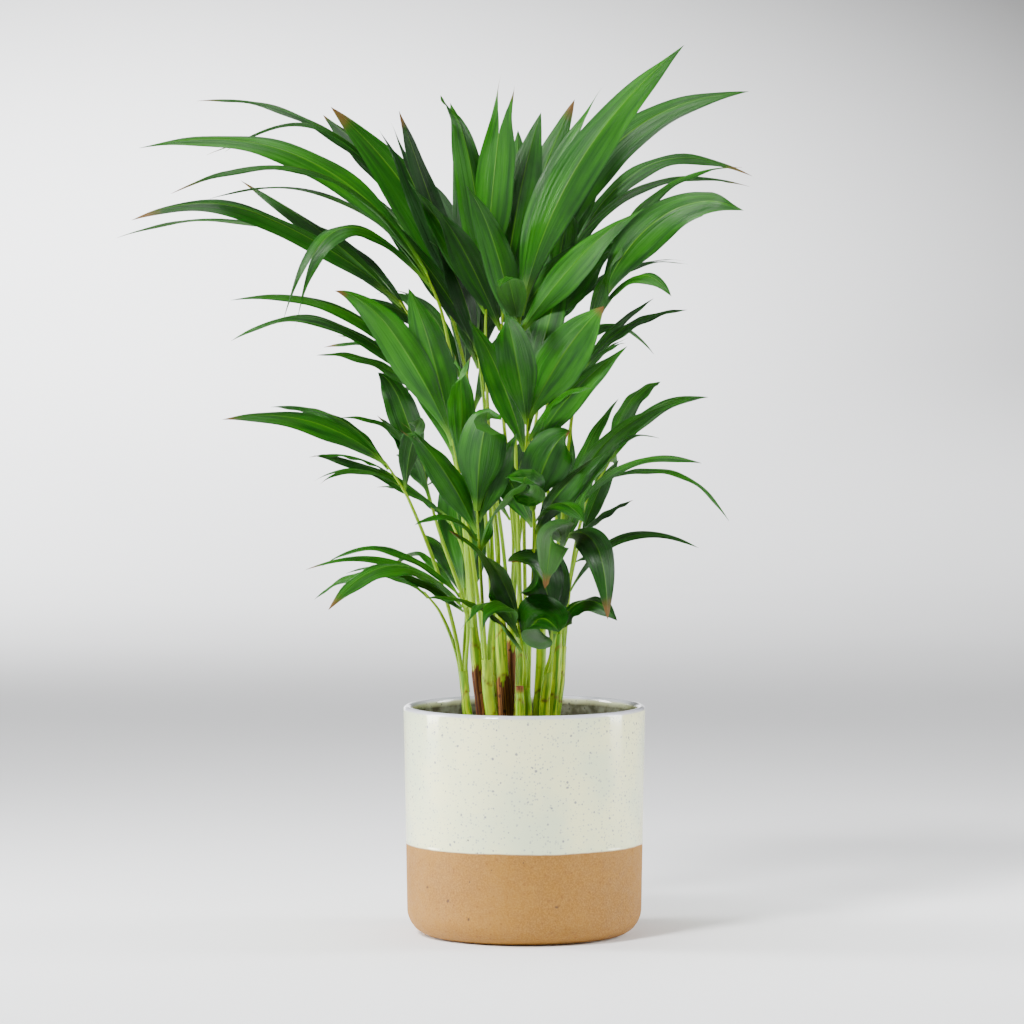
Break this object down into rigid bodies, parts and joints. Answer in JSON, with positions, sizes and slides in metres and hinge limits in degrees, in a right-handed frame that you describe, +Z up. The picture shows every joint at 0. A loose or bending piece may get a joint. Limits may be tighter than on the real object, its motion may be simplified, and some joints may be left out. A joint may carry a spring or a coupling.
{
  "type": "potted areca palm",
  "caption": "Young clumping palm with slender canes and feather fronds, in a nursery pot set inside a cylindrical two-tone stoneware cache pot.",
  "frame": {"origin": "centre of the pot's flat foot, on the surface it stands on", "axes": "+Z up the pot and the stems; the palm's front faces -Y; its widest spread lies along X"},
  "size_m": [0.397, 0.3089, 0.548],
  "materials": {
    "stoneware": "gloss",
    "nursery_plastic": "satin",
    "soil": "matte",
    "cane": "satin",
    "frond": "satin"
  },
  "bodies": {
    "root": {"cane_01": "cane", "cane_02": "cane", "cane_03": "cane", "cane_04": "cane", "cane_05": "cane", "cane_06": "cane", "cane_07": "cane", "cane_08": "cane", "cane_09": "cane", "cane_10": "cane", "cane_11": "cane", "cane_12": "cane", "cane_13": "cane", "cane_14": "cane", "cane_15": "cane", "ceramic_pot": "stoneware", "cut_stub": "cane", "frond_01": "frond", "frond_02": "frond", "frond_03": "frond", "frond_04": "frond", "frond_05": "frond", "frond_06": "frond", "frond_07": "frond", "frond_08": "frond", "frond_09": "frond", "frond_10": "frond", "frond_11": "frond", "frond_12": "frond", "frond_13": "frond", "frond_14": "frond", "frond_15": "frond", "frond_16": "frond", "frond_17": "frond", "frond_18": "frond", "frond_19": "frond", "frond_20": "frond", "frond_21": "frond", "frond_22": "frond", "frond_23": "frond", "frond_24": "frond", "frond_25": "frond", "frond_26": "frond", "frond_27": "frond", "frond_28": "frond", "frond_29": "frond", "frond_30": "frond", "frond_31": "frond", "frond_32": "frond", "frond_33": "frond", "nursery_pot": "nursery_plastic", "potting_soil": "soil", "spear_01": "frond"}
  },
  "joints": []
}
